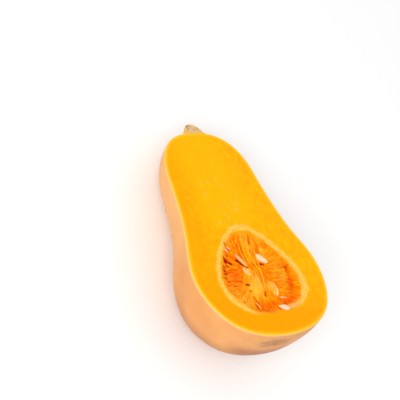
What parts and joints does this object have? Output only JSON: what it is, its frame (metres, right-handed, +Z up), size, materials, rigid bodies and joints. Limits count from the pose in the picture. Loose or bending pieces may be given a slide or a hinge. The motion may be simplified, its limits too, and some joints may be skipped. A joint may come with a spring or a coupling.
{
  "type": "butternut squash half",
  "caption": "Butternut squash cut in half lengthways, lying on its rind with the cut face, seed cavity, stringy pulp and seeds showing, and a stem stub at the neck.",
  "frame": {"origin": "on the surface the half rests on, under the middle of its box", "axes": "+Y from the blossom end towards the stem, +Z up, +X to the right when looking along +Y"},
  "size_m": [0.128, 0.2134, 0.083],
  "materials": {
    "rind_and_flesh": "moist saturated yellow-orange flesh on the cut face, satin peach-tan rind outside",
    "stem_cork": "dry, ridged, corky beige",
    "pulp_and_seeds": "wet stringy orange pulp with cream seeds"
  },
  "bodies": {
    "root": {"squash_half": "rind_and_flesh", "stem_stub": "stem_cork", "seed_bed": "pulp_and_seeds"}
  },
  "joints": []
}
